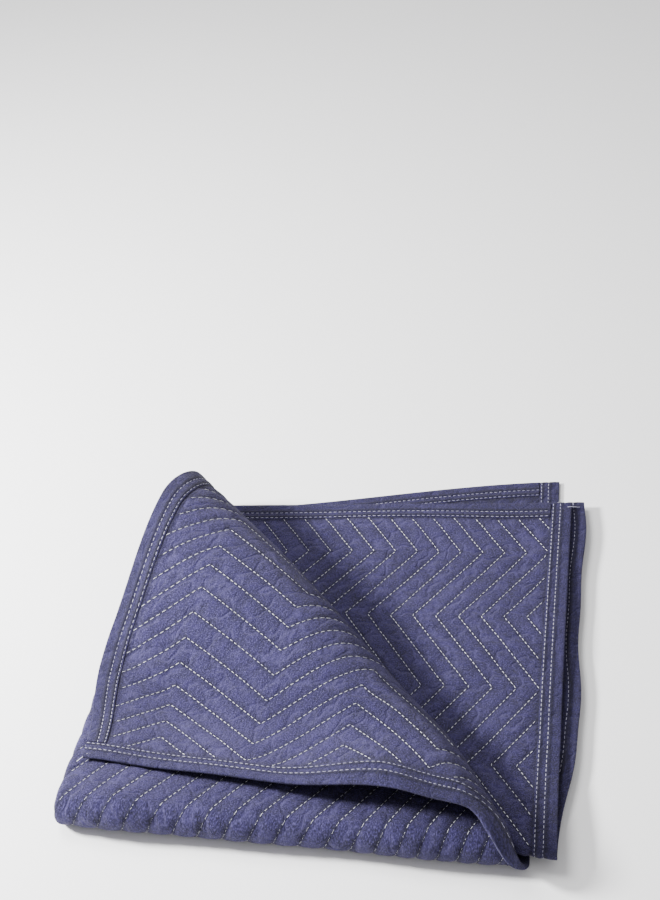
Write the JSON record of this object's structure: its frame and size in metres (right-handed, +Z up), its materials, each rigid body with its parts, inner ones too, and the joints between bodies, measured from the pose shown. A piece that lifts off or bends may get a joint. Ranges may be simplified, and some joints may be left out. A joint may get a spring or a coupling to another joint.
{
  "type": "moving blanket",
  "caption": "Quilted moving blanket with bound edges, folded in four with one corner turned back over a soft roll.",
  "frame": {"origin": "centre of the bounding box at the floor under the folded blanket", "axes": "+Z up, -Y towards the thick folded spine, +X towards the open right edges"},
  "size_m": [0.9932, 1.1224, 0.2129],
  "materials": {
    "quilted_panel": "matte",
    "left_binding": "matte",
    "right_binding": "matte",
    "back_binding": "matte",
    "front_binding": "matte"
  },
  "bodies": {
    "root": {"quilted_panel": "quilted_panel", "left_binding": "left_binding", "right_binding": "right_binding", "back_binding": "back_binding", "front_binding": "front_binding"}
  },
  "joints": []
}
